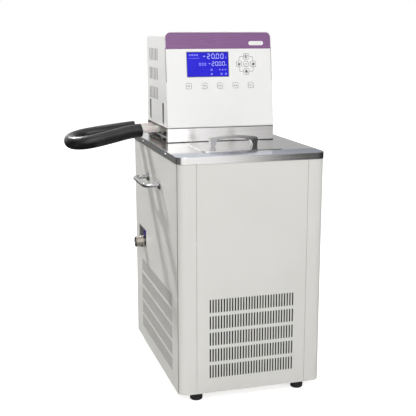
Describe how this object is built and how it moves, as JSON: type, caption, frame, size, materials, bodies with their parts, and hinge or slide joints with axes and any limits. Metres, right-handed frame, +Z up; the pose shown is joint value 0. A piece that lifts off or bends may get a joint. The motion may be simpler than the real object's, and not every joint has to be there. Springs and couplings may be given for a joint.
{
  "type": "refrigerated circulating water bath",
  "caption": "Upright refrigerated circulating bath: lidded steel bath deck, leaning control head with display, grilles, side handles, drain tap and an insulated hose loop.",
  "frame": {"origin": "floor level under the middle of the cabinet", "axes": "+X to the right seen from the control face, +Y to the back, +Z up"},
  "size_m": [0.5585, 0.4524, 0.802],
  "materials": {
    "body_paint": "satin",
    "stainless": "satin",
    "chrome": "polished",
    "white_plastic": "satin",
    "control_film": "satin",
    "display": "gloss",
    "circuit": "matte",
    "foam_rubber": "matte",
    "clear_silicone": "satin",
    "white_foam": "matte",
    "rubber": "matte",
    "copper": "satin",
    "black_paint": "satin",
    "aluminium": "satin",
    "black_plastic": "matte",
    "purple_plastic": "gloss"
  },
  "bodies": {
    "cabinet": {"base_pan": "body_paint", "rubber_feet": "rubber", "left_side_panel": "body_paint", "right_side_panel": "body_paint", "front_panel": "body_paint", "rear_panel": "body_paint", "deck": "stainless", "deck_screws": "stainless", "bath_lid": "stainless", "lid_handle": "chrome", "bath_tank": "stainless", "cooling_coil": "copper", "tank_insulation": "white_foam", "head_collar": "stainless", "head_cover": "white_plastic", "head_bezel": "white_plastic", "control_film": "control_film", "display_lens": "display", "display_module": "circuit", "control_board": "circuit", "head_tray": "body_paint", "service_plate": "stainless", "head_posts": "stainless", "pump_motor": "black_paint", "pump_column": "stainless", "pump_housing": "stainless", "outlet_pipe": "stainless", "return_pipe": "stainless", "heater": "stainless", "temperature_probe": "stainless", "clear_tube": "clear_silicone", "hose_insulation": "foam_rubber", "right_handle": "chrome", "left_handle": "chrome", "right_rosettes": "chrome", "left_rosettes": "chrome", "drain_box": "body_paint", "drain_valve": "stainless", "drain_pipe": "stainless", "condenser_filter": "black_plastic", "condenser": "aluminium", "fan_shroud": "black_paint", "fan_bracket": "black_paint", "fan_motor": "black_paint", "compressor": "black_paint", "compressor_mounts": "rubber", "discharge_line": "copper", "suction_line": "copper", "filter_drier": "copper", "power_box": "black_plastic", "power_inlet": "black_plastic", "switch_frame": "black_plastic"},
    "pump_rotor": {"pump_shaft": "stainless", "pump_impeller": "stainless"},
    "fan": {"fan_shaft": "stainless", "fan_rotor": "black_plastic"},
    "drain_tap": {"drain_lever": "purple_plastic"},
    "power_switch": {"power_rocker": "black_plastic"}
  },
  "joints": [
    {"name": "pump_spin", "type": "hinge", "parent": "cabinet", "child": "pump_rotor", "pos_m": [0.02, 0.085, 0.5], "axis": [0, 0, 1], "continuous": true},
    {"name": "fan_spin", "type": "hinge", "parent": "cabinet", "child": "fan", "pos_m": [0, -0.16, 0.131], "axis": [0, 1, 0], "continuous": true},
    {"name": "drain_turn", "type": "hinge", "parent": "cabinet", "child": "drain_tap", "pos_m": [-0.1375, 0.127, 0.302], "axis": [0, 0, 1], "range_deg": [-90, 0]},
    {"name": "switch_tilt", "type": "hinge", "parent": "cabinet", "child": "power_switch", "pos_m": [-0.03, 0.22, 0.07], "axis": [1, 0, 0], "range_deg": [-16, 0]}
  ]
}
